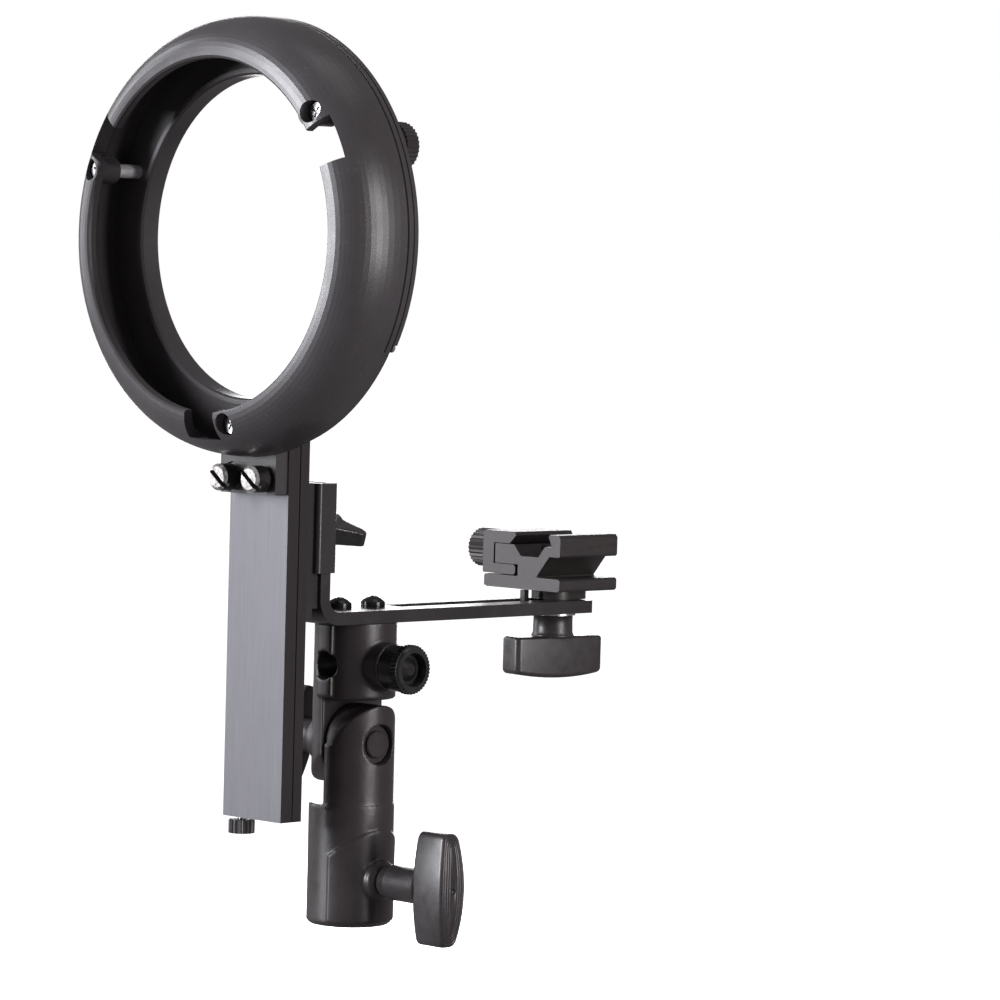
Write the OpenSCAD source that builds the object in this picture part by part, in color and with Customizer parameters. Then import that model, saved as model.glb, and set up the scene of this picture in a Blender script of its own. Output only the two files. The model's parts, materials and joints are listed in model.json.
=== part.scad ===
// Umbrella swivel bracket with speedlight ring adapter: tilting stand socket, umbrella hole,
// angle plate with a clamping flash shoe, sliding column and bayonet ring.
// Frame: millimetres; origin at the centre of the stand socket's mouth; +Z up, -Y towards the ring's front.

/* [Stand socket] */
// radius of the lower casting
socket_r = 15; // [12:0.5:20]
// radius of the bore that takes a 16 mm (5/8 inch) stand spigot
stand_bore_r = 8.05; // [7.5:0.05:9]
// depth of the stand bore
stand_bore_depth = 38; // [25:1:40]
// height of the full round part of the lower casting
socket_full_h = 43.2; // [38:0.2:46]
// height of the stand lock screw axis
stand_lock_z = 16.6; // [10:0.1:24]

/* [Swivel] */
// height of the tilt pivot axis
pivot_z = 63.8; // [58:0.2:70]
// round end of the lower tongue about the pivot
tongue_r = 13.8; // [12:0.1:14.5]
// round end of the upper ear about the pivot
ear_r = 15.0; // [11:0.1:15.2]
// radius of the upper casting
head_r = 14.5; // [12:0.5:18]
// lower edge of the full round part of the upper casting
head_full_z = 79.4; // [78.5:0.1:84]
// height of the umbrella hole's axis
umb_z = 91.2; // [90.5:0.1:98]
// radius of the umbrella shaft hole
umb_r = 5.0; // [4:0.1:5.5]

/* [Angle plate] */
// lower face of the angle plate
plate_z = 106.4; // [106:0.1:112]
// sheet thickness of the angle plate
plate_t = 4.5; // [3:0.1:5]
// half width of the angle plate
plate_hw = 14.5; // [12:0.5:16]
// back end of the angle plate
plate_end_y = 105.5; // [90:0.5:120]
// front face of the upright leg
leg_y = -31.3; // [-34:0.1:-28]
// top of the upright leg
leg_top_z = 155.0; // [145:0.5:160]

/* [Column] */
// half width of the column
col_hw = 14.55; // [12:0.05:18]
// front face of the column
col_front_y = -47.6; // [-50:0.1:-46]
// back face of the column
col_back_y = -38.0; // [-39:0.1:-36]
// bottom of the column
col_z0 = 39.6; // [35:0.2:60]
// top of the column, behind the ring
col_z1 = 178; // [170:0.5:182]
// height of the clamp screw axis
wing_z = 139.5; // [130:0.5:146]

/* [Ring] */
// height of the ring's axis
ring_z = 239.1; // [230:0.1:250]
// outer radius of the ring
ring_r = 74.8; // [70:0.1:80]
// radius of the front lip opening
lip_r = 59.6; // [58:0.1:64]
// radius of the rear opening
rear_r = 55; // [52:0.5:60]
// distance from the frame's XZ plane to the front lip
ring_front = 75.8; // [70:0.1:85]
// distance from the frame's XZ plane to the parting line
ring_part = 53.1; // [50:0.1:58]
// circle radius of the three bosses
post_cr = 64.2; // [62:0.1:68]
// outer radius of a boss
post_r = 4.7; // [4:0.1:6]

/* [Flash shoe] */
// distance of the shoe's screw behind the socket axis
shoe_y = 100.2; // [60:0.1:100.2]
// half length of the shoe
shoe_hl = 15.2; // [12:0.2:20]
// underside of the shoe's lower flange
shoe_z = 114.6; // [113:0.1:118]
// radius of the shoe clamp wheel
wheel_r = 7.1; // [5:0.05:8]

/* [Handles] */
// length of the three flat handles
handle_len = 39.4; // [30:0.2:45]
// width of the flat handles at the middle
handle_w = 12; // [10:0.5:16]
// thickness of the flat handles at the crown
handle_t = 14.6; // [8:0.1:16]
// running clearance in radius for turning screws
run_c = 0.06; // [0.02:0.01:0.1]

/* [Hidden] */
$fn = 48;
e = 0.01;
bolt_r = 3.0;
stud_r = 2.5;
wheel_z = 127.6;
// parting gap half widths at the tilt pivot
wash_x0 = -0.6;
wash_x1 = 0.4;
jaw_gap = 0.25;
post_ang = [40, 160, 280];
lock_ang = 28;
lock_cr = 66.1;
nose_n = 2.3;
nose_y = 53.2;
lock_xz = [lock_cr * cos(lock_ang), ring_z + lock_cr * sin(lock_ang)];
plug_z1 = 48;
nut_z0 = 118.4;
nut_z1 = 142.0;
black = [0.08, 0.08, 0.09];
grey = [0.42, 0.43, 0.46];
steel = [0.75, 0.75, 0.77];
brass = [0.75, 0.62, 0.32];

// ---- shared shapes -------------------------------------------------
// cylinder along +X from x0 to x1 about (y, z)
module xcyl(x0, x1, y, z, r) { translate([x0, y, z]) rotate([0, 90, 0]) cylinder(h = x1 - x0, r = r); }
// cylinder along +Y from y0 to y1 about (x, z)
module ycyl(y0, y1, x, z, r) { translate([x, y0, z]) rotate([-90, 0, 0]) cylinder(h = y1 - y0, r = r); }
module zcyl(z0, z1, x, y, r) { translate([x, y, z0]) cylinder(h = z1 - z0, r = r); }
// box from corner a to corner b
module bx(a, b) { translate(a) cube([b[0] - a[0], b[1] - a[1], b[2] - a[2]]); }
// outline of a flat handle: two shallow arcs with cut ends, long axis along Y of the sketch
module paddle2d(len, w) {
  drop = w * 0.225;
  hl = len / 2;
  rr = (hl * hl + drop * drop) / (2 * drop);
  intersection() {
    translate([rr - w / 2, 0]) circle(r = rr, $fn = 360);
    translate([-rr + w / 2, 0]) circle(r = rr, $fn = 360);
    square([w + 2, len], center = true);
  }
}
// flat handle standing on the XY plane of its own frame, long axis along Y, crowned outer face
module paddle(len, w, t) {
  d = 1.7;
  rb = (len * len / 4 + d * d) / (2 * d);
  difference() {
    intersection() {
      union() {
        translate([0, 0, 0.8]) linear_extrude(t) paddle2d(len, w);
        linear_extrude(2) paddle2d(len - 1.8, w - 1.6);
      }
      translate([-w, 0, t - rb]) rotate([0, 90, 0]) cylinder(h = 2 * w, r = rb, $fn = 360);
    }
    translate([0, 0, t - 0.7]) cylinder(h = 2, r = 0.9);
  }
}
// toothed outline of a knurl: n teeth between radii r0 and r1
function knurl(n, r0, r1) = [for (i = [0:2 * n - 1]) let (a = i * 180 / n, r = (i % 2 == 0) ? r1 : r0)
  [r * cos(a), r * sin(a)]];
module knurl2d(n, r0, r1) { polygon(knurl(n, r0, r1)); }
// rectangle with round corners
module rrect(w, h, r) {
  union() {
    square([w - 2 * r, h], center = true);
    square([w, h - 2 * r], center = true);
    for (sx = [-1, 1], sy = [-1, 1]) translate([sx * (w / 2 - r), sy * (h / 2 - r)]) circle(r = r);
  }
}
// sketch about the Y axis: the sketch plane becomes the XZ plane, its height becomes -Y
module about_y() { translate([0, 0, ring_z]) rotate([90, 0, 0]) children(); }
function post_xz(i) = [post_cr * cos(post_ang[i]), ring_z + post_cr * sin(post_ang[i])];

// ---- lower casting -------------------------------------------------
module socket_body() {
  color(black) difference() {
    union() {
      zcyl(1.2, socket_full_h - 0.8, 0, 0, socket_r);
      cylinder(h = 1.2 + e, r1 = socket_r - 1.2, r2 = socket_r);
      translate([0, 0, socket_full_h - 0.8 - e]) cylinder(h = 0.8, r1 = socket_r, r2 = socket_r - 0.8);
      // thicker lower right side with a sloping top
      difference() {
        intersection() {
          zcyl(1.6, 36, 0, 0, socket_r + 0.6);
          bx([4.2, -20, 0], [20, 20, 36]);
        }
        translate([4.2, -20, 25]) rotate([0, -38, 0]) cube([30, 40, 30]);
      }
      // boss of the stand lock screw
      xcyl(8, socket_r + 1.4, 0, stand_lock_z, 7.0);
      translate([socket_r + 1.4 - e, 0, stand_lock_z]) rotate([0, 90, 0])
        cylinder(h = 1.6, r1 = 7.0, r2 = 5.4);
      // tongue
      intersection() {
        zcyl(socket_full_h - 6, pivot_z + tongue_r + 1, 0, 0, socket_r - 0.4);
        translate([wash_x1, 0, 0]) rotate([90, 0, 90]) linear_extrude(20) union() {
          translate([0, pivot_z]) circle(r = tongue_r);
          translate([-socket_r, socket_full_h - 6]) square([2 * socket_r, pivot_z - socket_full_h + 6]);
        }
      }
    }
    // stand bore
    translate([0, 0, -e]) cylinder(h = stand_bore_depth + e, r = stand_bore_r);
    // bore of the stand lock screw
    xcyl(5, socket_r + 6, 0, stand_lock_z, bolt_r + 0.9 + run_c);
    // tilt pivot bore and the recess for its nut
    xcyl(-5, 20, 0, pivot_z, bolt_r + run_c);
    xcyl(8.4, 20, 0, pivot_z, 7.0);
    // clearance under the ear
    translate([-20, 0, 0]) bx([0, -20, socket_full_h - 0.8], [20 + wash_x1, 20, 90]);
  }
}
module stand_handle() {
  color(black) difference() {
    union() {
      xcyl(socket_r + 3.4, 22, 0, stand_lock_z, 5.4);
      xcyl(22 - e, 37.2, 0, stand_lock_z, 6.2);
      translate([36.9, 0, stand_lock_z]) rotate([90, 0, 90]) paddle(handle_len, handle_w, handle_t);
    }
    xcyl(0, 44.05, 0, stand_lock_z, bolt_r + 0.9 + run_c);
  }
}
module stand_bolt() { color(steel) xcyl(10.6, 44, 0, stand_lock_z, bolt_r + 0.9); }
module stand_pad() { color(brass) xcyl(8.9, 10.6, 0, stand_lock_z, bolt_r + 0.7); }
module pivot_nut() {
  color(black) difference() {
    union() {
      xcyl(8.5, 10.9, 0, pivot_z, 6.7);
      xcyl(10.9 - e, 11.9, 0, pivot_z, 4.8);
      translate([11.9 - e, 0, pivot_z]) rotate([0, 90, 0]) cylinder(h = 0.4, r1 = 4.8, r2 = 4.4);
    }
    xcyl(8, 11.4, 0, pivot_z, bolt_r + run_c);
  }
}
module friction_washer() {
  color([0.25, 0.24, 0.22]) difference() {
    xcyl(wash_x0 + 0.05, wash_x1, 0, pivot_z, 11.6);
    xcyl(-3, 3, 0, pivot_z, bolt_r + run_c);
  }
}

// ---- upper casting -------------------------------------------------
module head_body() {
  color(black) difference() {
    union() {
      zcyl(head_full_z + 0.8, plate_z, 0, 0, head_r);
      translate([0, 0, head_full_z]) cylinder(h = 0.8 + e, r1 = head_r - 0.8, r2 = head_r);
      // ear
      intersection() {
        zcyl(pivot_z - ear_r - 1, head_full_z + 4, 0, 0, head_r);
        translate([-20, 0, 0]) rotate([90, 0, 90]) linear_extrude(20 + wash_x0) union() {
          translate([0, pivot_z]) circle(r = ear_r);
          translate([-ear_r, pivot_z]) square([2 * ear_r, head_full_z + 4 - pivot_z]);
        }
      }
      // bosses: umbrella lock screw and tilt screw
      xcyl(6, 19.2, 0, umb_z, 8.4);
      bx([-3.6, -15.3, 80.2], [3.6, -10, 105.6]);
      xcyl(-15.2, -8, 0, pivot_z, 8.6);
    }
    // umbrella shaft hole with wide mouths
    ycyl(-20, 20, 0, umb_z, umb_r);
    translate([0, head_r - 1.1, umb_z]) rotate([-90, 0, 0]) cylinder(h = 3, r1 = umb_r, r2 = umb_r + 3);
    // umbrella lock screw bore
    xcyl(0, 25, 0, umb_z, bolt_r + run_c);
    // tilt pivot bore
    xcyl(-20, 0, 0, pivot_z, bolt_r + run_c);
    // threaded holes for the plate screws
    for (y = [-8.3, 8.0]) zcyl(plate_z - 5, plate_z + 1, 0, y, 2.0);
    // clearance above the tongue
    bx([wash_x0, -20, 40], [20, 20, head_full_z]);
  }
}
module tilt_handle() {
  color(black) difference() {
    union() {
      xcyl(-25.6, -16.7, 0, pivot_z, 6.0);
      translate([-25.4, 0, pivot_z]) rotate([0, -90, 0]) paddle2_turn()
        paddle(handle_len * 0.9, handle_w, handle_t);
    }
    xcyl(-32, 0, 0, pivot_z, bolt_r);
  }
}
// turn a handle so that it stands along Z after the flip onto the X axis
module paddle2_turn() { rotate([0, 0, 75]) children(); }
module tilt_bolt() { color(steel) xcyl(-32, 11.2, 0, pivot_z, bolt_r); }
module tilt_washer() {
  color(steel) difference() {
    xcyl(-16.7, -15.2, 0, pivot_z, 6.8);
    xcyl(-20, -10, 0, pivot_z, bolt_r);
  }
}
module umbrella_knob() {
  color(black) difference() {
    union() {
      xcyl(19.5, 26.2, 0, umb_z, 8.05);
      translate([26.0, 0, umb_z]) rotate([0, 90, 0]) linear_extrude(2.6) knurl2d(40, 8.2, 8.65);
      translate([28.4, 0, umb_z]) rotate([0, 90, 0]) cylinder(h = 1.0, r1 = 8.1, r2 = 7.5);
    }
    xcyl(0, 25.4, 0, umb_z, bolt_r);
    xcyl(25.4 - e, 31, 0, umb_z, 5.9);
  }
}
module umbrella_knob_cap() {
  color(black) union() {
    xcyl(25.4, 26.2, 0, umb_z, 5.2);
    translate([26.2 - e, 0, umb_z]) rotate([0, 90, 0]) cylinder(h = 1.6, r1 = 4.2, r2 = 2.0);
  }
}
module umbrella_screw() { color(steel) xcyl(5.4, 25.4, 0, umb_z, bolt_r); }

// ---- angle plate ---------------------------------------------------
module l_plate() {
  ro = 9.2;
  ri = ro - plate_t;
  yl = leg_y;
  color(black) difference() {
    translate([plate_hw, 0, 0]) rotate([0, -90, 0]) linear_extrude(2 * plate_hw) union() {
      // sketch X is Z, sketch Y is Y
      translate([plate_z, yl + ro]) square([plate_t, plate_end_y - yl - ro - 2]);
      translate([plate_z + 0.0, plate_end_y - 2 - e]) square([plate_t, 2 + e]);
      translate([plate_z + ro, yl]) square([leg_top_z - plate_z - ro, plate_t]);
      intersection() {
        difference() {
          translate([plate_z + ro, yl + ro]) circle(r = ro);
          translate([plate_z + ro, yl + ro]) circle(r = ri);
        }
        translate([plate_z, yl]) square([ro, ro]);
      }
    }
    // long slot for the shoe screw
    zcyl(plate_z - 1, plate_z + 6, 0, 23, 3.3);
    zcyl(plate_z - 1, plate_z + 6, 0, 100.4, 3.3);
    bx([-3.3, 23, plate_z - 1], [3.3, 100.4, plate_z + 6]);
    // raised run of the slot on the upper face
    translate([-4.9, 17.5, plate_z + plate_t - 0.7]) cube([9.8, 86.6, 2]);
    // screws into the upper casting
    for (y = [-8.3, 8.0]) zcyl(plate_z - 1, plate_z + 6, 0, y, 2.0);
    // clamp screw
    ycyl(yl - 2, yl + 8, 0, wing_z, bolt_r + run_c);
  }
}
module dome_screw(y) {
  color(black) difference() {
    union() {
      zcyl(plate_z - 4.6, plate_z + plate_t + 1, 0, y, 2.0);
      zcyl(plate_z + plate_t, plate_z + plate_t + 1.9, 0, y, 4.3);
      intersection() {
        zcyl(plate_z + plate_t + 1.9 - e, plate_z + plate_t + 5, 0, y, 4.3);
        translate([0, y, plate_z + plate_t - 1.7]) sphere(r = 5.6);
      }
    }
    for (a = [0, 90]) translate([0, y, plate_z + plate_t + 3.6]) rotate([0, 0, a + 20])
      cube([3.4, 0.8, 2.4], center = true);
  }
}
module plate_screw_front() { dome_screw(-8.3); }
module plate_screw_rear() { dome_screw(8.0); }
module clamp_sleeve() {
  color(black) difference() {
    translate([0, -29.9, 124.7]) linear_extrude(30.9) rrect(32, 9.0, 1.4);
    bx([-plate_hw - 0.02, leg_y - 0.02, 120], [plate_hw + 0.02, leg_y + plate_t + 0.02, 154.98]);
    bx([-plate_hw - 0.02, leg_y - 0.02, 120], [plate_hw + 0.02, leg_y + plate_t + 0.02, 160]);
    ycyl(-36, -20, 0, wing_z, bolt_r + run_c);
  }
}
module slide_block() {
  color(black) difference() {
    union() {
      translate([0, 0, 108.7]) bx([-13.6, col_back_y + 0.1, 0], [13.6, -34.4, 46.9]);
      bx([-13.0, -34.5, 112.5], [13.0, leg_y, 124.5]);
      // key that rides in the column's rear slot
      bx([-5.6, col_back_y - 1.9, nut_z0], [5.6, col_back_y + 0.2, nut_z1]);
    }
    ycyl(-50, -20, 0, wing_z - 0.0, bolt_r + run_c);
  }
}
module channel_nut() {
  color(steel) difference() {
    bx([-11, -44.7, nut_z0], [11, col_back_y - 2.6, nut_z1]);
    ycyl(-50, -20, 0, wing_z, bolt_r + run_c);
  }
}
module wing_knob() {
  color(black) difference() {
    union() {
      ycyl(-23.7, -20.4, 0, wing_z, 8.2);
      translate([0, -20.4 - e, wing_z]) rotate([-90, 0, 0]) cylinder(h = 6.6, r1 = 8.2, r2 = 4.9);
      for (s = [0, 180]) translate([0, 0, wing_z]) rotate([0, s + 17, 0]) wing_blade();
    }
    ycyl(-30, -15.5, 0, wing_z, bolt_r);
  }
}
// one wing: sketch X is radial, sketch Y is the part's Y
module wing_blade() {
  translate([0, 0, -2.5]) linear_extrude(5.0) union() {
    polygon([[0, -22], [7.6, -22], [9.3, -18.6], [12.2, -12.2], [12.9, -10.2], [10.2, -7.9],
      [8.0, -8.4], [4.2, -13.2], [0, -14.4]]);
    translate([10.5, -10.1]) circle(r = 2.4);
  }
}
module wing_stud() { color(steel) ycyl(-44.2, -15.5, 0, wing_z, bolt_r); }
module wing_washer() {
  color(steel) difference() {
    ycyl(-25.3, -23.8, 0, wing_z, 6.6);
    ycyl(-30, -20, 0, wing_z, bolt_r);
  }
}

// ---- column --------------------------------------------------------
module column() {
  color(grey) difference() {
    translate([0, 0, col_z0]) linear_extrude(col_z1 - col_z0) difference() {
      translate([-col_hw, col_front_y]) square([2 * col_hw, col_back_y - col_front_y]);
      translate([-11.4, -45.0]) square([22.8, 4.5]);
      translate([-6, -41]) square([12, 4]);
      for (s = [-1, 1]) translate([s * col_hw - 0.5, -42.5]) square([1.0, 0.5]);
    }
    for (x = [-8, 8]) ycyl(-50, -44, x, 157, 2.4);
  }
}
module column_plug() {
  color(black) difference() {
    bx([-11.4, -45.0, col_z0 + 0.3], [11.4, -40.5, plug_z1]);
    zcyl(30, plug_z1 + 1, -9.6, -43.3, 1.4 + run_c);
  }
}
module column_end_knob() {
  color(black) difference() {
    translate([-9.6, -43.3, 33.7]) union() {
      cylinder(h = 5.0, r = 4.2);
      linear_extrude(4.6) knurl2d(20, 4.1, 4.6);
    }
    zcyl(30, 45, -9.6, -43.3, 1.4);
  }
}
module column_end_stud() { color(steel) zcyl(34.4, 47.6, -9.6, -43.3, 1.4); }
module foot_screw(x) {
  color(steel) difference() {
    union() {
      ycyl(-54.2, -42.2, x, 157, 2.35);
      ycyl(-59.4, -54.2, x, 157, 4.65);
      translate([x, -59.4 + e, 157]) rotate([90, 0, 0]) cylinder(h = 0.9, r1 = 4.65, r2 = 3.6);
    }
    translate([x, -60.0, 157]) rotate([0, 38, 0]) cube([12, 4.2, 1.7], center = true);
  }
}
module foot_screw_left() { foot_screw(-8); }
module foot_screw_right() { foot_screw(8); }
module foot_nut_plate() {
  color(steel) difference() {
    bx([-11.2, -44.95, 150.4], [11.2, -41.6, 163.6]);
    for (x = [-8, 8]) ycyl(-50, -40, x, 157, 2.35);
  }
}

// ---- ring ----------------------------------------------------------
// nose of the ring: quarter of a squared ellipse, from the outer wall to the lip
function nose(a, b, h0, n, t) = [lip_r + a * pow(max(cos(t), 0), 2 / n), h0 + b * pow(max(sin(t), 0), 2 / n)];
module ring_shell2d() {
  ao = ring_r - lip_r;
  polygon(concat(
    [[ring_r - 0.5, ring_part + 0.02]],
    [for (i = [0:14]) nose(ao, ring_front - nose_y, nose_y, nose_n, i * 90 / 14 * 0.93)],
    [[lip_r + 0.9, ring_front], [lip_r + 0.2, ring_front - 0.5], [lip_r, ring_front - 1.3],
     [lip_r, ring_front - 3.4]],
    [for (i = [13:-1:0]) nose(ao - 3.4, ring_front - 3.6 - nose_y, nose_y, nose_n, i * 90 / 14)],
    [[ring_r - 3.4, ring_part + 0.05]]));
}
// the same outline filled to the inside, to trim the bosses flush with the nose
module nose_solid2d() {
  polygon(concat([[45, 60], [ring_r - 0.1, 60]],
    [for (i = [2:14])
      nose(ring_r - lip_r - 0.02, ring_front - nose_y - 0.02, nose_y, nose_n, i * 90 / 14 * 0.93)],
    [[lip_r + 0.9, ring_front], [45, ring_front]]));
}
module ring_body() {
  color(black) difference() {
    union() {
      about_y() rotate_extrude($fn = 96) ring_shell2d();
      // bosses
      for (i = [0:2]) intersection() {
        ycyl(-ring_front, -65.0, post_xz(i)[0], post_xz(i)[1], post_r);
        about_y() rotate_extrude($fn = 96) nose_solid2d();
      }
    }
    // three bayonet openings through the lip
    for (i = [0:2]) about_y() rotate([0, 0, post_ang[i] - 17.5]) intersection() {
      translate([0, 0, 56.5]) difference() {
        cylinder(h = 40, r = 69.0, $fn = 96);
        translate([0, 0, -1]) cylinder(h = 50, r = 50);
      }
      linear_extrude(100) polygon([[0, 0], [100, 0], [100, 100 * tan(13.3)]]);
    }
    // counterbores and screw holes in the bosses
    for (i = [0:2]) {
      ycyl(-90, -69.4, post_xz(i)[0], post_xz(i)[1], 3.75);
      ycyl(-72, -60, post_xz(i)[0], post_xz(i)[1], 1.6);
    }
  }
}
module ring_plate() {
  color(black) difference() {
    union() {
      about_y() rotate_extrude($fn = 96) polygon([[rear_r, 47.8], [rear_r + 0.4, 47.6], [ring_r - 2.4, 47.6],
        [ring_r - 1.8, 48.2], [ring_r - 1.8, 51.7], [ring_r - 2.2, 51.9], [ring_r - 2.2, ring_part],
        [rear_r + 2.6, ring_part], [rear_r + 2.2, 55.4], [rear_r + 0.6, 55.4], [rear_r, 54.6]]);
      // wider rim segment behind the upper right of the shell, with a fine groove
      about_y() rotate([0, 0, -30]) rotate_extrude(angle = 120, $fn = 96) polygon([
        [ring_r - 3, 47.75], [ring_r - 0.5, 47.75], [ring_r, 48.2], [ring_r, 49.9], [ring_r - 0.4, 50.0],
        [ring_r - 0.4, 50.4], [ring_r, 50.5], [ring_r, 52.4], [ring_r - 0.7, 52.7],
        [ring_r - 0.7, ring_part - 0.1], [ring_r - 3, ring_part - 0.1]]);
      // foot
      difference() {
        translate([0, -47.6, 161.95]) rotate([90, 0, 0]) linear_extrude(5.5) rrect(27.6, 20.7, 0.6);
        translate([0, 0, ring_z]) rotate([90, 0, 0]) cylinder(h = 90, r = rear_r + 5);
      }
    }
    // obround recess for the screw heads and their holes
    translate([0, -52.0, 157]) rotate([90, 0, 0]) linear_extrude(4) rrect(26.4, 10.6, 5.2);
    for (x = [-8, 8]) ycyl(-60, -40, x, 157, 2.4);
    // screw holes behind the bosses
    for (i = [0:2]) ycyl(-60, -40, post_xz(i)[0], post_xz(i)[1], 1.6);
    // three small cut-outs with rim screws
    for (a = [90, -30, 210]) {
      p = [(ring_r - 3.4) * cos(a), ring_z + (ring_r - 3.4) * sin(a)];
      translate([0, -40, ring_z]) rotate([0, -a, 0]) bx([ring_r - 2.4, -9.6, -2.6], [ring_r + 3, -6, 2.6]);
      ycyl(-60, -40, p[0], p[1], 0.9);
    }
    // hole of the lock pin
    ycyl(-60, -40, lock_xz[0], lock_xz[1], 2.0 + run_c);
  }
}
module ring_bolt(i) {
  color(steel) difference() {
    union() {
      ycyl(-69.4, -47.8, post_xz(i)[0], post_xz(i)[1], 1.6);
      ycyl(-71.6, -69.4, post_xz(i)[0], post_xz(i)[1], 3.2);
    }
    translate([post_xz(i)[0], -71.8, post_xz(i)[1]]) rotate([0, 25, 0]) cube([4, 1.6, 0.9], center = true);
    translate([post_xz(i)[0], -71.8, post_xz(i)[1]]) rotate([0, 115, 0]) cube([4, 1.6, 0.9], center = true);
  }
}
module ring_bolt_a() { ring_bolt(0); }
module ring_bolt_b() { ring_bolt(1); }
module ring_bolt_c() { ring_bolt(2); }
module ring_spacer(i) {
  color(steel) difference() {
    ycyl(-65.0, -ring_part, post_xz(i)[0], post_xz(i)[1], 2.45);
    ycyl(-70, -50, post_xz(i)[0], post_xz(i)[1], 1.6);
  }
}
module ring_spacer_a() { ring_spacer(0); }
module ring_spacer_b() { ring_spacer(1); }
module ring_spacer_c() { ring_spacer(2); }
module rim_screw(a) {
  p = [(ring_r - 3.4) * cos(a), ring_z + (ring_r - 3.4) * sin(a)];
  color(steel) union() {
    ycyl(-52.8, -47.6, p[0], p[1], 0.9);
    ycyl(-47.6, -46.6, p[0], p[1], 1.8);
  }
}
module rim_screw_a() { rim_screw(90); }
module rim_screw_b() { rim_screw(-30); }
module rim_screw_c() { rim_screw(210); }
module lock_knob() {
  color(black) translate([lock_xz[0], -40.6, lock_xz[1]]) rotate([90, 0, 0]) difference() {
    union() {
      linear_extrude(5.4) knurl2d(32, 7.7, 8.2);
      translate([0, 0, -0.5]) cylinder(h = 6.5, r = 7.4);
    }
    translate([0, 0, -5]) cylinder(h = 20, r = 2.0);
    translate([0, 0, 3.0]) cylinder(h = 10, r = 4.4);
  }
}
module lock_pin() {
  color(steel) union() {
    ycyl(-63.0, -40.4, lock_xz[0], lock_xz[1], 2.0);
    ycyl(-60.2, -59.2, lock_xz[0], lock_xz[1], 2.7);
  }
}
// compression spring between the plate and the pin's collar: rings on a thin sleeve
module lock_spring() {
  color(steel) translate([lock_xz[0], -ring_part, lock_xz[1]]) rotate([90, 0, 0]) union() {
    difference() {
      cylinder(h = 5.9, r = 2.55);
      translate([0, 0, -1]) cylinder(h = 9, r = 2.2);
    }
    for (i = [0:5]) translate([0, 0, 0.32 + i * 1.05]) rotate_extrude() translate([2.5, 0]) circle(r = 0.3);
  }
}

// ---- flash shoe ----------------------------------------------------
module shoe_spacer() {
  color(black) difference() {
    union() {
      zcyl(plate_z + plate_t, shoe_z - 0.1, 0, shoe_y, 8.2);
      zcyl(plate_z + plate_t, shoe_z - 0.1, 0, shoe_y + 5.2, 8.2);
      bx([-8.2, shoe_y, plate_z + plate_t], [8.2, shoe_y + 5.2, shoe_z - 0.1]);
    }
    zcyl(100, 120, 0, shoe_y, stud_r);
  }
}
module shoe_stud() { color(steel) zcyl(90, shoe_z + 6.0, 0, shoe_y, stud_r); }
// key in the slot, with a small lug standing up in front of the spacer
module shoe_slot_key() {
  color(black) difference() {
    union() {
      bx([-3.15, shoe_y - 15, plate_z + 0.2], [3.15, shoe_y, plate_z + plate_t - 0.8]);
      zcyl(plate_z + 0.2, plate_z + plate_t - 0.8, 0, shoe_y, 3.15);
      bx([-2.6, shoe_y - 15, plate_z + 1], [-0.4, shoe_y - 12.8, shoe_z - 0.25]);
    }
    zcyl(100, 120, 0, shoe_y, stud_r);
  }
}
module shoe_washer() {
  color(steel) difference() {
    zcyl(105.0, plate_z - 0.05, 0, shoe_y, 8.2);
    zcyl(100, 120, 0, shoe_y, stud_r);
  }
}
module shoe_handle() {
  color(black) translate([0, shoe_y, 0]) difference() {
    union() {
      zcyl(96, 104.8, 0, 0, 7.3);
      translate([0, 0, 97.3]) rotate([180, 0, 0]) rotate([0, 0, 9])
        paddle(handle_len, handle_w, handle_t + 0.6);
    }
    zcyl(87.95, 110, 0, 0, 4.6 + run_c);
  }
}
module shoe_insert() {
  color(brass) difference() {
    zcyl(88.0, 104.8, 0, shoe_y, 4.6);
    zcyl(87, 120, 0, shoe_y, stud_r + run_c);
  }
}
// end view of the shoe: sketch X is X, sketch Y is Z
module shoe2d() {
  polygon([[-20.4, shoe_z + 0.4], [-19.6, shoe_z], [16.2, shoe_z], [17, shoe_z + 0.8], [17, 118.6],
    [16.2, 119.2], [5.9, 119.2], [5.6, 119.7], [11.6, 127.1], [16.4, 127.1], [17, 127.8], [17, 134.0],
    [16.0, 135.1], [11.6, 135.1], [11.2, 134.3], [12.9, 130.6], [9.4, 130.6], [6.2, 126.6],
    [-2.6, 126.6], [-6.2, 130.6], [-15.6, 130.6], [-15.6, 123.5], [-4.0, 123.5], [-4.0, 119.2],
    [-20.4, 119.2], [-21.0, 118.6], [-21.0, 115.0]]);
}
module shoe_body() {
  color(grey) difference() {
    translate([0, shoe_y + shoe_hl, 0]) rotate([90, 0, 0]) linear_extrude(2 * shoe_hl) shoe2d();
    // bore for the stud, from below
    zcyl(shoe_z - 1, shoe_z + 6.4, 0, shoe_y, stud_r + run_c);
    // bore for the clamp screw
    xcyl(-20, -1, shoe_y, wheel_z, 2.5 + run_c);
  }
}
module shoe_jaw() {
  color(grey) difference() {
    translate([0, shoe_y + shoe_hl - 0.2, 0]) rotate([90, 0, 0]) linear_extrude(2 * shoe_hl - 0.4)
      polygon([[-22, 119.9], [-21.3, 119.4 + jaw_gap], [-6.3, 119.4 + jaw_gap], [-5.5, 120.4], [-5.5, 122.4],
        [-6.3, 123.5 - jaw_gap], [-15.6 - jaw_gap - 0.7, 123.5 - jaw_gap],
        [-15.6 - jaw_gap - 0.7, 130.6 + jaw_gap],
        [-8.6, 130.6 + jaw_gap], [-5.4, 134.0], [-6.2, 135.2], [-20.8, 135.2], [-22, 134.2]]);
    xcyl(-30, -10, shoe_y, wheel_z, 2.5 + run_c);
  }
}
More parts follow.
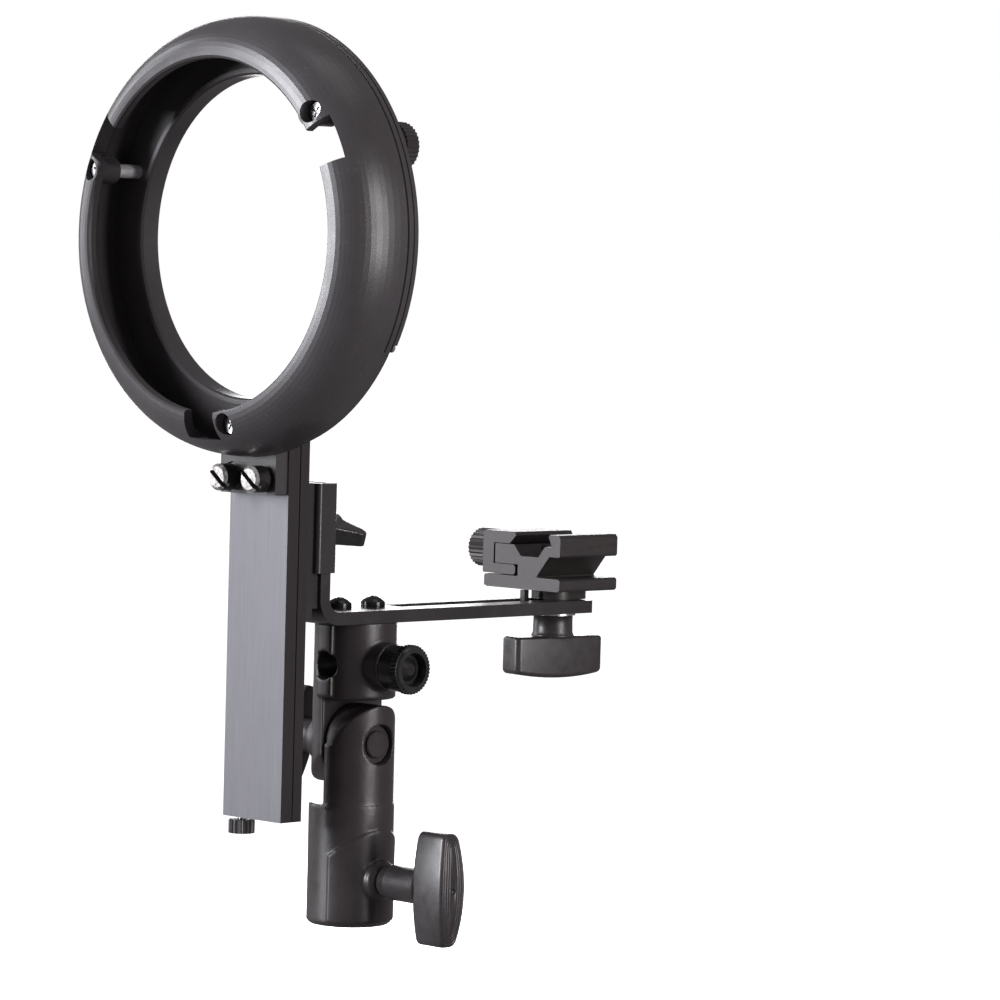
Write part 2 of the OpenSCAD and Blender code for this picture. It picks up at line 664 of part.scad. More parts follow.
module shoe_wheel() {
  color(black) difference() {
    union() {
      xcyl(-23.6, -22.15, shoe_y, wheel_z, 5.8);
      translate([-37.6, shoe_y, wheel_z]) rotate([0, 90, 0]) linear_extrude(14.2) knurl2d(28, 6.6, wheel_r);
      translate([-38.4, shoe_y, wheel_z]) rotate([0, 90, 0]) cylinder(h = 0.9, r1 = 5.9, r2 = 6.6);
    }
    xcyl(-37.4, -20, shoe_y, wheel_z, 2.5);
    xcyl(-40, -37.4 + e, shoe_y, wheel_z, 4.0);
  }
}
module shoe_screw() { color(steel) xcyl(-37.4, -2.4, shoe_y, wheel_z, 2.5); }
module shoe_screw_cap() { color(black) xcyl(-38.1, -37.4, shoe_y, wheel_z, 3.9); }

// ---- selection -----------------------------------------------------
socket_body();
stand_handle();
stand_bolt();
stand_pad();
pivot_nut();
friction_washer();
head_body();
tilt_handle();
tilt_bolt();
tilt_washer();
umbrella_knob();
umbrella_screw();
umbrella_knob_cap();
l_plate();
plate_screw_front();
plate_screw_rear();
clamp_sleeve();
slide_block();
channel_nut();
wing_knob();
wing_stud();
wing_washer();
column();
column_plug();
column_end_knob();
column_end_stud();
ring_plate();
ring_body();
ring_bolt_a();
ring_bolt_b();
ring_bolt_c();
ring_spacer_a();
ring_spacer_b();
ring_spacer_c();
rim_screw_a();
rim_screw_b();
rim_screw_c();
foot_screw_left();
foot_screw_right();
foot_nut_plate();
lock_knob();
lock_pin();
lock_spring();
shoe_spacer();
shoe_stud();
shoe_slot_key();
shoe_washer();
shoe_handle();
shoe_insert();
shoe_body();
shoe_jaw();
shoe_wheel();
shoe_screw();
shoe_screw_cap();
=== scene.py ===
"""Umbrella swivel bracket: looks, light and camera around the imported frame."""
import bpy, bmesh, json, math, random
from mathutils import Vector, Matrix


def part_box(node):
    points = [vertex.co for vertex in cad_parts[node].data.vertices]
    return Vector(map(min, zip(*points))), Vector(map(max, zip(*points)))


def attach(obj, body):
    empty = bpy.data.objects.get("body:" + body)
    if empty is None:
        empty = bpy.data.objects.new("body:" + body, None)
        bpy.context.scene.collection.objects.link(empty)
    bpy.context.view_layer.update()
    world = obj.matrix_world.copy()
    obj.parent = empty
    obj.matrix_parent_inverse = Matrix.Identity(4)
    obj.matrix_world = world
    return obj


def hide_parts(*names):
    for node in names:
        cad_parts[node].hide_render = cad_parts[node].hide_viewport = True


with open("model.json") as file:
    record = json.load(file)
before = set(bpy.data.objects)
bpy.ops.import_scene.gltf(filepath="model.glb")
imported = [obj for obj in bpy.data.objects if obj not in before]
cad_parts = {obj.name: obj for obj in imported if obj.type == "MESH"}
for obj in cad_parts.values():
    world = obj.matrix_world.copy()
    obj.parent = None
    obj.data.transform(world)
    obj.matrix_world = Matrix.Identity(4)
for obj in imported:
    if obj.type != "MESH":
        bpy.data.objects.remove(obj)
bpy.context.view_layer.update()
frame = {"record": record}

MM = 0.001
PI = math.pi


# ---------------------------------------------------------------- shader help
class Mat:
    """One procedural material: a Principled shader and short calls for its nodes."""

    def __init__(self, name, rough=0.5, metallic=0.0, spec=0.5, coat=0.0, coat_rough=0.2):
        self.m = bpy.data.materials.new(name)
        self.m.use_nodes = True
        self.t = self.m.node_tree
        self.b = next(n for n in self.t.nodes if n.type == "BSDF_PRINCIPLED")
        self.b.inputs["Roughness"].default_value = rough
        self.b.inputs["Metallic"].default_value = metallic
        self.b.inputs["Specular IOR Level"].default_value = spec
        self.b.inputs["Coat Weight"].default_value = coat
        self.b.inputs["Coat Roughness"].default_value = coat_rough
        self.obj = self.t.nodes.new("ShaderNodeTexCoord").outputs["Object"]

    def node(self, kind, **values):
        n = self.t.nodes.new(kind)
        for key, value in values.items():
            if key in n.inputs.keys():
                n.inputs[key].default_value = value
            else:
                setattr(n, key, value)
        return n

    def link(self, out, socket):
        self.t.links.new(out, socket)

    def scaled(self, scale):
        n = self.node("ShaderNodeMapping")
        n.inputs["Scale"].default_value = scale
        self.link(self.obj, n.inputs["Vector"])
        return n.outputs["Vector"]

    def noise(self, scale, detail=4.0, rough=0.55, stretch=(1, 1, 1), seed=0.0):
        n = self.node("ShaderNodeTexNoise", noise_dimensions="4D")
        n.inputs["Scale"].default_value = scale
        n.inputs["Detail"].default_value = detail
        n.inputs["Roughness"].default_value = rough
        n.inputs["W"].default_value = seed
        self.link(self.scaled(stretch), n.inputs["Vector"])
        return n.outputs["Fac"]

    def voronoi(self, scale, stretch=(1, 1, 1), feature="F1"):
        n = self.node("ShaderNodeTexVoronoi", feature=feature)
        n.inputs["Scale"].default_value = scale
        self.link(self.scaled(stretch), n.inputs["Vector"])
        return n.outputs["Distance"]

    def ramp(self, fac, stops):
        n = self.node("ShaderNodeValToRGB")
        el = n.color_ramp.elements
        while len(el) < len(stops):
            el.new(0.5)
        for e, (p, c) in zip(el, stops):
            e.position = p
            e.color = tuple(c) + (1,) if len(c) == 3 else tuple(c)
        self.link(fac, n.inputs["Fac"])
        return n.outputs["Color"]

    def maprange(self, fac, a, b, lo, hi):
        n = self.node("ShaderNodeMapRange")
        for key, value in (("From Min", a), ("From Max", b), ("To Min", lo), ("To Max", hi)):
            n.inputs[key].default_value = value
        self.link(fac, n.inputs["Value"])
        return n.outputs["Result"]

    def mix(self, fac, a, b, blend="MIX"):
        n = self.node("ShaderNodeMix", data_type="RGBA", blend_type=blend)
        for out, sock in ((fac, n.inputs[0]), (a, n.inputs[6]), (b, n.inputs[7])):
            if isinstance(out, (int, float)):
                sock.default_value = out
            elif isinstance(out, (tuple, list)):
                sock.default_value = tuple(out) + (1,)
            else:
                self.link(out, sock)
        return n.outputs[2]

    def math(self, op, a, b=0.5):
        n = self.node("ShaderNodeMath", operation=op)
        for out, sock in ((a, n.inputs[0]), (b, n.inputs[1])):
            if isinstance(out, (int, float)):
                sock.default_value = out
            else:
                self.link(out, sock)
        return n.outputs[0]

    def color(self, out):
        self.link(out, self.b.inputs["Base Color"])

    def rough(self, out):
        self.link(out, self.b.inputs["Roughness"])

    def bumps(self, *layers):
        """layers of (height output, strength, distance in metres), added one on another"""
        last = None
        for height, strength, dist in layers:
            n = self.node("ShaderNodeBump")
            n.inputs["Strength"].default_value = strength
            n.inputs["Distance"].default_value = dist
            self.link(height, n.inputs["Height"])
            if last is not None:
                self.link(last, n.inputs["Normal"])
            last = n.outputs["Normal"]
        self.link(last, self.b.inputs["Normal"])

    def edges(self, lo, hi):
        """wear mask from the mesh's own pointiness"""
        g = self.node("ShaderNodeNewGeometry")
        return self.maprange(g.outputs["Pointiness"], lo, hi, 0.0, 1.0)


def mat_ring():
    m = Mat("ring_paint", rough=0.36, spec=0.5)
    cloud = m.noise(26, 5, 0.6, seed=1.0)
    base = m.ramp(cloud, [(0.25, (0.036, 0.032, 0.034)), (0.55, (0.049, 0.045, 0.048)), (0.8, (0.062, 0.058, 0.063))])
    speck = m.noise(900, 2, 0.5, seed=2.0)
    m.color(m.mix(m.maprange(speck, 0.62, 0.72, 0.0, 0.25), base, (0.12, 0.12, 0.13)))
    m.rough(m.maprange(m.noise(60, 4, 0.6, seed=3.0), 0.3, 0.7, 0.27, 0.37))
    m.bumps((m.noise(1500, 3, 0.6, seed=4.0), 0.20, 0.00008), (m.noise(110, 3, 0.5, seed=5.0), 0.16, 0.0004),
            (m.maprange(m.noise(260, 5, 0.75, (1, 1, 0.2), 6.0), 0.63, 0.72, 0.0, 1.0), 0.2, 0.00008))
    return m.m


def mat_cast():
    m = Mat("cast_paint", rough=0.42, spec=0.45)
    base = m.ramp(m.noise(55, 5, 0.6, seed=7.0),
                  [(0.3, (0.023, 0.0185, 0.0195)), (0.6, (0.033, 0.028, 0.029)), (0.85, (0.046, 0.040, 0.041))])
    wear = m.edges(0.53, 0.60)
    m.color(m.mix(m.math("MULTIPLY", wear, m.maprange(m.noise(240, 4, 0.6, seed=8.0), 0.4, 0.65, 0.0, 0.5)),
                  base, (0.10, 0.095, 0.09)))
    m.rough(m.maprange(m.noise(120, 4, 0.6, seed=9.0), 0.3, 0.7, 0.29, 0.42))
    scratch = m.maprange(m.noise(380, 5, 0.7, (1, 1, 0.12), 12.0), 0.62, 0.72, 0.0, 1.0)
    m.bumps((m.noise(620, 3, 0.55, seed=10.0), 0.30, 0.00014), (m.noise(70, 3, 0.5, seed=11.0), 0.22, 0.0006),
            (scratch, 0.25, 0.00008))
    return m.m


def mat_plate():
    m = Mat("plate_paint", rough=0.33, spec=0.5)
    base = m.ramp(m.noise(40, 4, 0.6, seed=13.0),
                  [(0.3, (0.022, 0.019, 0.020)), (0.6, (0.030, 0.027, 0.028)), (0.85, (0.042, 0.038, 0.039))])
    m.color(m.mix(m.maprange(m.noise(420, 5, 0.7, (1, 0.15, 0.15), 14.0), 0.58, 0.75, 0, 0.3),
                  base, (0.10, 0.095, 0.095)))
    m.rough(m.maprange(m.noise(80, 4, 0.6, seed=15.0), 0.3, 0.7, 0.28, 0.38))
    m.bumps((m.noise(1100, 3, 0.5, seed=16.0), 0.14, 0.00008), (m.noise(160, 2, 0.5, seed=17.0), 0.10, 0.0002))
    return m.m


def mat_column():
    m = Mat("column_anodised", rough=0.42, metallic=0.55, spec=0.5)
    lines = m.noise(5200, 3, 0.55, (1, 1, 0.012), 19.0)
    wide = m.noise(420, 4, 0.6, (1, 1, 0.02), 20.0)
    base = m.ramp(lines, [(0.25, (0.088, 0.086, 0.094)), (0.55, (0.112, 0.110, 0.119)), (0.8, (0.140, 0.137, 0.148))])
    base = m.mix(m.maprange(wide, 0.35, 0.7, 0.0, 0.35), base, (0.12, 0.122, 0.134))
    dirt = m.noise(70, 5, 0.65, seed=21.0)
    base = m.mix(m.maprange(dirt, 0.56, 0.8, 0.0, 0.3), base, (0.09, 0.09, 0.10))
    # painted shade: every face turned away from the front (-Y), the sides and back, is mixed towards near-black in the
    # colour itself
    g = m.node("ShaderNodeNewGeometry")
    sep = m.node("ShaderNodeSeparateXYZ")
    m.link(g.outputs["True Normal"], sep.inputs[0])
    m.color(m.mix(m.maprange(sep.outputs["Y"], -0.9, -0.4, 0.0, 1.0), base, (0.030, 0.026, 0.028)))
    m.rough(m.maprange(lines, 0.3, 0.7, 0.36, 0.5))
    m.bumps((lines, 0.18, 0.00005), (wide, 0.10, 0.00012))
    return m.m


def mat_handle():
    m = Mat("handle_plastic", rough=0.4, spec=0.5)
    base = m.ramp(m.noise(70, 4, 0.6, seed=23.0),
                  [(0.3, (0.025, 0.0215, 0.0225)), (0.6, (0.034, 0.030, 0.0315)), (0.85, (0.046, 0.042, 0.044))])
    m.color(m.mix(m.maprange(m.noise(500, 4, 0.7, (0.3, 1, 1), 24.0), 0.6, 0.74, 0, 0.35), base, (0.09, 0.09, 0.095)))
    m.rough(m.maprange(m.noise(220, 4, 0.6, seed=25.0), 0.3, 0.7, 0.27, 0.42))
    m.bumps((m.noise(1600, 3, 0.5, seed=26.0), 0.22, 0.00006), (m.noise(260, 2, 0.5, seed=27.0), 0.10, 0.0002))
    return m.m


def mat_gloss():
    m = Mat("knob_gloss", rough=0.28, spec=0.5, coat=0.3, coat_rough=0.12)
    m.color(m.ramp(m.noise(140, 4, 0.6, seed=29.0), [(0.3, (0.007, 0.007, 0.0075)), (0.75, (0.016, 0.015, 0.016))]))
    m.rough(m.maprange(m.noise(400, 4, 0.6, seed=30.0), 0.3, 0.7, 0.22, 0.38))
    m.bumps((m.noise(900, 3, 0.5, seed=31.0), 0.16, 0.00008),)
    return m.m


def mat_screw_black():
    m = Mat("screw_black", rough=0.16, metallic=0.5, spec=0.6)
    m.color(m.ramp(m.noise(300, 4, 0.6, seed=33.0), [(0.3, (0.006, 0.006, 0.007)), (0.8, (0.03, 0.03, 0.032))]))
    m.rough(m.maprange(m.noise(500, 4, 0.6, seed=34.0), 0.3, 0.7, 0.10, 0.24))
    m.bumps((m.noise(1200, 2, 0.5, seed=35.0), 0.1, 0.00005),)
    return m.m


def mat_worn():
    """blackened screw with bare bright faces where tools have rubbed it"""
    m = Mat("screw_worn", rough=0.42, metallic=0.7, spec=0.5)
    g = m.node("ShaderNodeNewGeometry")
    sep = m.node("ShaderNodeSeparateXYZ")
    m.link(g.outputs["True Normal"], sep.inputs[0])
    face = m.maprange(sep.outputs["Y"], -0.75, -0.35, 1.0, 0.0)
    sepo = m.node("ShaderNodeSeparateXYZ")
    m.link(m.obj, sepo.inputs[0])
    front = m.maprange(sepo.outputs["Y"], -0.0594, -0.0586, 1.0, 0.0)
    patch = m.maprange(m.noise(520, 5, 0.7, seed=37.0), 0.36, 0.56, 0.15, 1.0)
    bare = m.math("MULTIPLY", m.math("MULTIPLY", face, front), patch)
    dark = m.ramp(m.noise(700, 4, 0.6, seed=38.0), [(0.3, (0.010, 0.009, 0.009)), (0.75, (0.055, 0.052, 0.052))])
    m.color(m.mix(bare, dark, (0.40, 0.385, 0.37)))
    m.rough(m.maprange(m.noise(600, 4, 0.6, seed=39.0), 0.3, 0.7, 0.25, 0.5))
    m.bumps((m.noise(900, 4, 0.6, seed=40.0), 0.35, 0.0001),)
    return m.m


def mat_steel(name, tint, rough, axis=(1, 1, 1), seed=0.0, metallic=1.0):
    m = Mat(name, rough=rough, metallic=metallic, spec=0.5)
    a = tuple(c * 0.72 for c in tint)
    m.color(m.ramp(m.noise(800, 4, 0.6, axis, 41.0 + seed), [(0.25, a), (0.7, tint)]))
    m.rough(m.maprange(m.noise(500, 4, 0.6, axis, 42.0 + seed), 0.3, 0.7, rough * 0.75, rough * 1.35))
    m.bumps((m.noise(2600, 3, 0.5, axis, 43.0 + seed), 0.12, 0.00004),)
    return m.m


def mat_fibre():
    m = Mat("fibre", rough=0.8, spec=0.3)
    m.color(m.ramp(m.noise(900, 6, 0.7, seed=51.0), [(0.3, (0.05, 0.042, 0.034)), (0.75, (0.15, 0.125, 0.10))]))
    m.bumps((m.noise(1800, 5, 0.7, seed=52.0), 0.5, 0.0001),)
    return m.m


def mat_shoe():
    m = Mat("shoe_anodised", rough=0.4, metallic=0.35, spec=0.5)
    lines = m.noise(3800, 3, 0.55, (1, 0.02, 1), 54.0)
    base = m.ramp(lines, [(0.25, (0.028, 0.0245, 0.0245)), (0.6, (0.042, 0.037, 0.037)), (0.85, (0.060, 0.054, 0.054))])
    m.color(m.mix(m.maprange(m.noise(160, 5, 0.65, seed=55.0), 0.5, 0.75, 0.0, 0.4), base, (0.05, 0.047, 0.047)))
    m.rough(m.maprange(m.noise(900, 4, 0.6, seed=56.0), 0.3, 0.7, 0.33, 0.52))
    m.bumps((lines, 0.2, 0.00006), (m.noise(2200, 3, 0.5, seed=57.0), 0.16, 0.00006))
    return m.m


def mat_matte():
    m = Mat("slide_plastic", rough=0.55, spec=0.4)
    m.color(m.ramp(m.noise(120, 4, 0.6, seed=59.0), [(0.3, (0.009, 0.009, 0.0095)), (0.75, (0.019, 0.018, 0.019))]))
    m.rough(m.maprange(m.noise(300, 4, 0.6, seed=60.0), 0.3, 0.7, 0.45, 0.62))
    m.bumps((m.noise(1500, 3, 0.5, seed=61.0), 0.25, 0.00008),)
    return m.m


MATS = {
    "ring_black": mat_ring(),
    "die_cast_black": mat_cast(),
    "plate_black": mat_plate(),
    "column_grey": mat_column(),
    "handle_plastic": mat_handle(),
    "knob_gloss": mat_gloss(),
    "screw_black": mat_screw_black(),
    "screw_worn": mat_worn(),
    "steel": mat_steel("steel", (0.60, 0.60, 0.61), 0.3, seed=0.0),
    "pin_steel": mat_steel("pin_steel", (0.93, 0.93, 0.95), 0.24, (1, 0.1, 1), 3.0, 0.55),
    "brass": mat_steel("brass", (0.78, 0.58, 0.26), 0.28, seed=6.0),
    "fibre": mat_fibre(),
    "shoe_anodised": mat_shoe(),
    "slide_plastic": mat_matte(),
}
SLOT = {s["node"]: s["material_slot"] for s in frame["record"]["subparts"]}
BEVEL = {  # width in mm and segments of each node's rounded edges
    "socket_body": (0.5, 3), "head_body": (0.5, 3), "l_plate": (0.35, 2), "column": (0.35, 2),
    "ring_body": (0.35, 2), "ring_plate": (0.3, 2), "shoe_body": (0.25, 2), "shoe_jaw": (0.25, 2),
    "stand_handle": (0.9, 4), "tilt_handle": (0.9, 4), "shoe_handle": (0.9, 4),
    "clamp_sleeve": (0.4, 2), "slide_block": (0.4, 2), "foot_screw_left": (0.25, 2),
    "foot_screw_right": (0.25, 2), "umbrella_knob": (0.15, 2), "shoe_wheel": (0.15, 2),
    "lock_knob": (0.15, 2), "wing_knob": (0.8, 3), "column_end_knob": (0.15, 2),
}


def cad(name):
    return bpy.data.objects[name]


def dress(ob, slot):
    ob.data.materials.clear()
    ob.data.materials.append(MATS[slot])


for name, slot in SLOT.items():
    ob = cad(name)
    dress(ob, slot)
    width, segs = BEVEL.get(name, (0.15, 2))
    bev = ob.modifiers.new("edges", "BEVEL")
    bev.width = width * MM
    bev.segments = segs
    bev.limit_method = "ANGLE"
    bev.angle_limit = math.radians(35)
    bev.use_clamp_overlap = True
    bev.harden_normals = True
    for p in ob.data.polygons:
        p.use_smooth = True

# ---------------------------------------------------------------- pieces
def make(name, verts, faces, slot, body, node):
    """a mesh piece, smooth shaded, that rides on a body and stands for a CAD node"""
    me = bpy.data.meshes.new(name)
    me.from_pydata([tuple(v) for v in verts], [], faces)
    me.validate()
    bm = bmesh.new()
    bm.from_mesh(me)
    bmesh.ops.recalc_face_normals(bm, faces=bm.faces)
    bm.to_mesh(me)
    bm.free()
    for p in me.polygons:
        p.use_smooth = True
    ob = bpy.data.objects.new(name, me)
    bpy.context.scene.collection.objects.link(ob)
    dress(ob, slot)
    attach(ob, body)
    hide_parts(node)
    return ob


def strip(loops, closed=True):
    """faces between point loops of one length; the first and last loop are capped when closed"""
    verts = [v for lp in loops for v in lp]
    n = len(loops[0])
    faces = [(k * n + i, k * n + (i + 1) % n, (k + 1) * n + (i + 1) % n, (k + 1) * n + i)
             for k in range(len(loops) - 1) for i in range(n)]
    if closed:
        for k in (0, len(loops) - 1):
            c = sum((Vector(v) for v in loops[k]), Vector()) / n
            verts.append(tuple(c))
            faces += [(k * n + i, k * n + (i + 1) % n, len(verts) - 1) for i in range(n)]
    return verts, faces


def lens(length, width, corner=1.9, drop=0.225, n=120):
    """outline of a flat handle: two shallow arcs, cut and rounded at both ends; points in mm"""
    hl, d = length / 2, width * drop
    rr = (hl * hl + d * d) / (2 * d)
    half = lambda y: math.sqrt(max(rr * rr - y * y, 0)) - rr + width / 2
    pts = []
    for i in range(n):
        a = 2 * PI * i / n
        y = hl * math.sin(a)
        y = math.copysign(abs(y / hl) ** 0.8 * hl, y)
        x = half(y)
        gap = hl - abs(y)
        if gap < corner:
            x = max(x - (corner - math.sqrt(max(corner ** 2 - (corner - gap) ** 2, 0))), 0)
        pts.append((math.copysign(x, math.cos(a)), y))
    return pts


def handle(name, node, body, origin, ax, ay, az, length, width, thick, crown, neck, drop=0.225):
    """flat plastic handle with a crowned face, fine moulded rings and a round neck"""
    out = lens(length, width, drop=drop)
    hl = length / 2
    top = lambda y: thick - crown * (y / hl) ** 2

    def ring_at(inset, zf):
        kx, ky = 1 - 2 * inset / width, 1 - inset / hl
        return [(x * kx, y * ky, zf(y * ky)) for x, y in out]
    loops = [ring_at(1.5, lambda y: 0.0), ring_at(0.9, lambda y: 0.05), ring_at(0.35, lambda y: 0.3),
             ring_at(0.06, lambda y: 0.75), ring_at(0.0, lambda y: 1.2), ring_at(0.0, lambda y: thick * 0.5)]
    for inset, dz in ((0.0, 1.7), (0.05, 1.15), (0.2, 0.7), (0.5, 0.3), (0.85, 0.08), (1.15, 0.0), (1.45, 0.02),
                      (1.6, 0.22), (1.85, 0.24), (2.0, 0.1), (2.7, 0.02), (2.85, 0.12), (3.05, 0.12), (3.2, 0.02),
                      (3.8, 0.0), (3.95, 0.1), (4.15, 0.1), (4.3, 0.0)):
        loops.append(ring_at(inset, lambda y, dz=dz: top(y) - dz))
    for r, dz in ((1.15, 0.0), (0.95, 0.12), (0.85, 0.8)):
        loops.append([(r * math.copysign(1, x) * abs(math.cos(2 * PI * i / len(out))),
                       r * math.sin(2 * PI * i / len(out)), thick - dz) for i, (x, y) in enumerate(out)])
    verts, faces = strip(loops)
    m = 64
    prof = [[(r * math.cos(2 * PI * i / m), r * math.sin(2 * PI * i / m), z) for i in range(m)] for z, r in neck]
    v2, f2 = strip(prof)
    base = len(verts)
    verts += v2
    faces += [tuple(i + base for i in f) for f in f2]
    ax, ay, az, o = (Vector(v) for v in (ax, ay, az, origin))
    pts = [(o + ax * v[0] + ay * v[1] + az * v[2]) * MM for v in verts]
    return make(name, pts, faces, "handle_plastic", body, node)


def melt(name, me, node, body, slot, voxel, rounds):
    """a cast shape with soft edges for a CAD node: a closed mesh rebuilt on a fine grid and smoothed"""
    ob = bpy.data.objects.new(name, me)
    bpy.context.scene.collection.objects.link(ob)
    grid = ob.modifiers.new("grid", "REMESH")
    grid.mode = "VOXEL"
    grid.voxel_size = voxel * MM
    soft_edges = ob.modifiers.new("soft", "SMOOTH")
    soft_edges.factor = 0.5
    soft_edges.iterations = rounds
    done = bpy.data.meshes.new_from_object(ob.evaluated_get(bpy.context.evaluated_depsgraph_get()))
    ob.modifiers.clear()
    ob.data = done
    for p in done.polygons:
        p.use_smooth = True
    dress(ob, slot)
    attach(ob, body)
    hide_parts(node)
    return ob


def wing_mesh():
    """head of the wing screw: a coned hub and two thick webs with rounded tips, about the stud's axis"""
    lo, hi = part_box("wing_washer")
    o = Vector((0, hi.y, (lo.z + hi.z) / 2))
    bm = bmesh.new()
    n = 48
    rings = []
    for y, r in ((0.1, 3.0), (0.1, 7.6), (0.7, 8.7), (2.6, 9.0), (4.2, 8.3), (8.0, 6.6), (11.6, 5.4), (12.4, 4.6),
                 (12.6, 3.0)):
        rings.append([bm.verts.new(o + Vector((r * math.cos(2 * PI * k / n), y, r * math.sin(2 * PI * k / n))) * MM)
                      for k in range(n)])
    for a, b in zip(rings, rings[1:]):
        for k in range(n):
            bm.faces.new((a[k], a[(k + 1) % n], b[(k + 1) % n], b[k]))
    bm.faces.new(rings[0])
    bm.faces.new(list(reversed(rings[-1])))
    prof = [(0.0, 1.4), (8.2, 1.2), (9.8, 4.6), (12.6, 10.6), (13.9, 12.8), (13.7, 14.6), (12.2, 15.7),
            (10.2, 15.6), (8.2, 14.2), (4.8, 12.2), (0.0, 11.2)]
    for turn in (17, 197):
        t = math.radians(turn)
        u, w = Vector((math.cos(t), 0, -math.sin(t))), Vector((math.sin(t), 0, math.cos(t)))
        side = []
        for s in (-1, 1):
            side.append([bm.verts.new(o + (u * x + Vector((0, y, 0)) + w * s * (4.6 - 0.16 * x)) * MM)
                         for x, y in prof])
        m = len(prof)
        for k in range(m):
            bm.faces.new((side[0][k], side[0][(k + 1) % m], side[1][(k + 1) % m], side[1][k]))
        bm.faces.new(side[0])
        bm.faces.new(list(reversed(side[1])))
    bmesh.ops.recalc_face_normals(bm, faces=bm.faces)
    me = bpy.data.meshes.new("wing")
    bm.to_mesh(me)
    bm.free()
    return me


def mid_of(node):
    lo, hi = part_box(node)
    return [(a + b) / 2 / MM for a, b in zip(lo, hi)], [v / MM for v in lo], [v / MM for v in hi]


_, slo, shi = mid_of("stand_handle")
sz = (slo[2] + shi[2]) / 2
handle("stand_lever", "stand_handle", "stand_lock", (36.9, 0, sz), (0, 1, 0), (0, 0, 1), (1, 0, 0),
       39.4, 12.0, 14.5, 1.7,
       [(-18.4, 3.2), (-18.4, 5.0), (-18.1, 5.35), (-15.2, 5.4), (-14.9, 5.7), (-14.7, 6.1), (-14.2, 6.2),
        (-2.0, 6.2), (-1.0, 6.35), (-0.3, 6.8), (0.3, 7.2), (1.0, 5.0)])
_, tlo, thi = mid_of("tilt_handle")
tz = 63.8
LEAN = math.radians(15)
handle("tilt_lever", "tilt_handle", "tilt_lock", (-25.4, 0, tz), (0, math.cos(LEAN), -math.sin(LEAN)),
       (0, math.sin(LEAN), math.cos(LEAN)), (-1, 0, 0), 39.4 * 0.9, 12.0, 14.5, 1.7,
       [(-8.7, 3.0), (-8.7, 5.6), (-8.4, 6.0), (-2.0, 6.05), (-1.0, 6.2), (-0.3, 6.7), (0.3, 7.2), (1.0, 5.0)])
_, hlo, hhi = mid_of("shoe_handle")
hy = (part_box("shoe_stud")[0][1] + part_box("shoe_stud")[1][1]) / 2 / MM
A = math.radians(81)
handle("shoe_lever", "shoe_handle", "shoe_lock", (0, hy, 97.3), (math.sin(A), -math.cos(A), 0),
       (math.cos(A), math.sin(A), 0), (0, 0, -1), 39.4, 12.0, 15.1, 1.7,
       [(-7.5, 4.62), (-7.5, 6.9), (-7.2, 7.25), (-2.2, 7.3), (-1.2, 7.4), (-0.5, 7.7), (0.1, 8.1), (0.8, 5.0)], drop=0.09)
melt("socket_cast", cad("socket_body").data.copy(), "socket_body", "socket", "die_cast_black", 0.42, 6)
melt("head_cast", cad("head_body").data.copy(), "head_body", "head", "die_cast_black", 0.42, 6)
melt("wing_head", wing_mesh(), "wing_knob", "wing", "knob_gloss", 0.3, 8)

# ---------------------------------------------------------------- stage
def stage_material():
    m = Mat("stage_paper", rough=0.9, spec=0.05)
    m.color(m.ramp(m.noise(1.2, 3, 0.5, seed=70.0), [(0.3, (0.86, 0.86, 0.86)), (0.7, (0.9, 0.9, 0.9))]))
    m.b.inputs["Emission Color"].default_value = (1, 1, 1, 1)
    m.b.inputs["Emission Strength"].default_value = 0.9
    return m.m


FLOOR_Z = -0.30
bpy.ops.mesh.primitive_plane_add(size=60, location=(0, 0, FLOOR_Z))
floor = bpy.context.object
floor.name = "floor"
floor.data.materials.append(stage_material())
floor.visible_diffuse = False
floor.visible_glossy = False

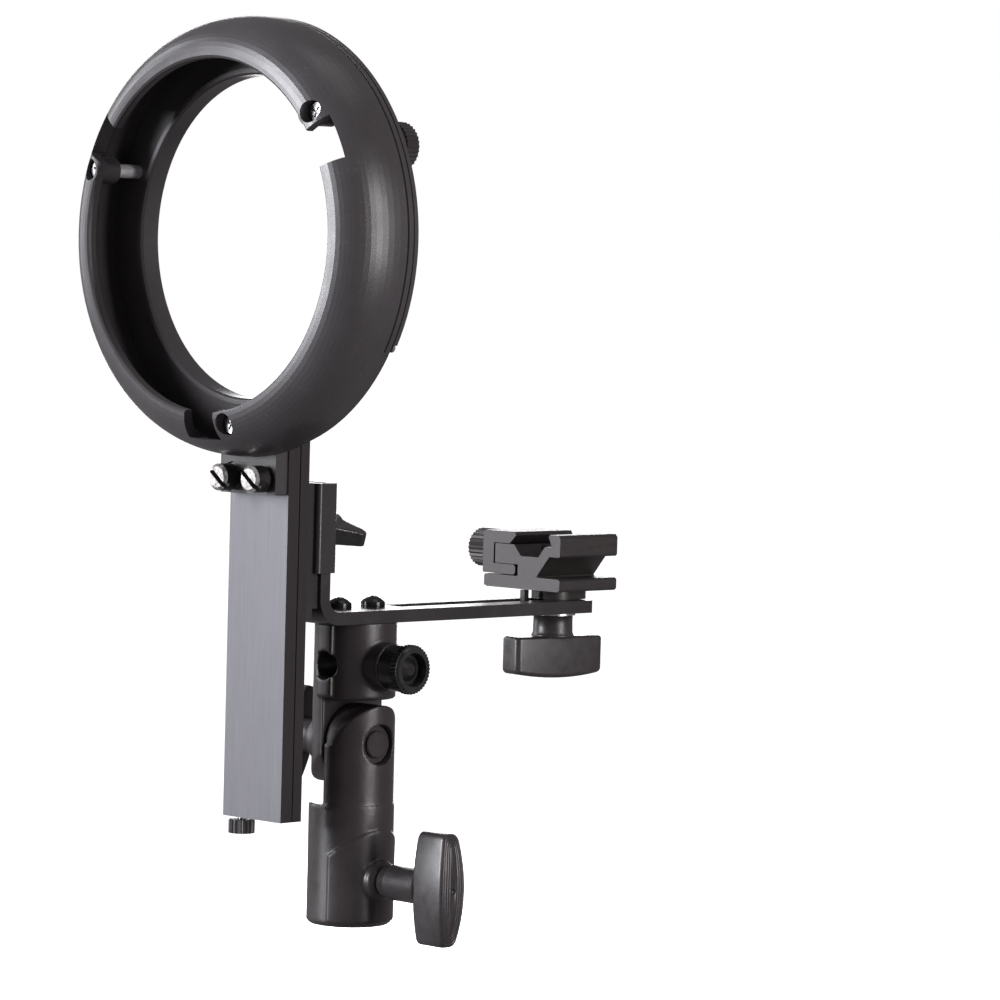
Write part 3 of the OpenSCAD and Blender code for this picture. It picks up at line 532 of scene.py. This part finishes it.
# ---------------------------------------------------------------- camera
AZ, EL, ROLL = math.radians(44.134), math.radians(2.791), math.radians(1.529)
back = Vector((math.sin(AZ) * math.cos(EL), -math.cos(AZ) * math.cos(EL), math.sin(EL)))
right0 = Vector((math.cos(AZ), math.sin(AZ), 0))
up0 = back.cross(right0)
right = right0 * math.cos(ROLL) + up0 * math.sin(ROLL)
up = -right0 * math.sin(ROLL) + up0 * math.cos(ROLL)
cam_data = bpy.data.cameras.new("camera")
cam_data.sensor_width = 36
cam_data.lens = 162
cam_data.clip_end = 100
cam = bpy.data.objects.new("camera", cam_data)
bpy.context.scene.collection.objects.link(cam)
rot = Matrix((right, up, back)).transposed().to_4x4()
cam.matrix_world = Matrix.Translation(Vector((1.1298, -1.0938, 0.2265))) @ rot
bpy.context.scene.camera = cam


# ---------------------------------------------------------------- light
def area(name, pos, target, size, power, color=(1, 1, 1), size_y=None):
    d = bpy.data.lights.new(name, "AREA")
    d.energy = power
    d.color = color
    d.size = size
    if size_y:
        d.shape = "RECTANGLE"
        d.size_y = size_y
    ob = bpy.data.objects.new(name, d)
    bpy.context.scene.collection.objects.link(ob)
    ob.location = pos
    ob.rotation_euler = (Vector(target) - Vector(pos)).to_track_quat("-Z", "Y").to_euler()
    return ob


mid = (0, 0, 0.16)
area("key_left", (-1.2, -2.2, 0.75), mid, 0.8, 125, (0.94, 0.95, 1.0), 1.8)
area("fill_right", (2.4, 0.3, 0.5), mid, 1.0, 48, (1.0, 0.96, 0.97), 1.7)
area("side_left", (-2.3, -0.5, 0.8), mid, 0.6, 16, (0.95, 0.97, 1.0), 1.6)
area("top", (0.2, 0.4, 2.0), mid, 0.9, 2, (1, 1, 1))
area("back_card", (-1.75, 1.85, 0.40), (0, 0.03, 0.16), 1.5, 30, (1, 1, 1), 1.1)
for ob in [o for o in bpy.data.objects if o.type == "LIGHT"]:
    ob.visible_camera = False

world = bpy.data.worlds.new("studio")
bpy.context.scene.world = world
world.use_nodes = True
wn = world.node_tree
bg = next(n for n in wn.nodes if n.type == "BACKGROUND")
bg.inputs["Color"].default_value = (1, 1, 1, 1)
bg.inputs["Strength"].default_value = 1.0
soft = wn.nodes.new("ShaderNodeBackground")
soft.inputs["Color"].default_value = (1.0, 0.94, 0.97, 1)
soft.inputs["Strength"].default_value = 0.22
mixw = wn.nodes.new("ShaderNodeMixShader")
path = wn.nodes.new("ShaderNodeLightPath")
wout = next(n for n in wn.nodes if n.type == "OUTPUT_WORLD")
wn.links.new(path.outputs["Is Camera Ray"], mixw.inputs[0])
wn.links.new(soft.outputs[0], mixw.inputs[1])
wn.links.new(bg.outputs[0], mixw.inputs[2])
wn.links.new(mixw.outputs[0], wout.inputs["Surface"])
bpy.context.scene.view_settings.view_transform = "Standard"
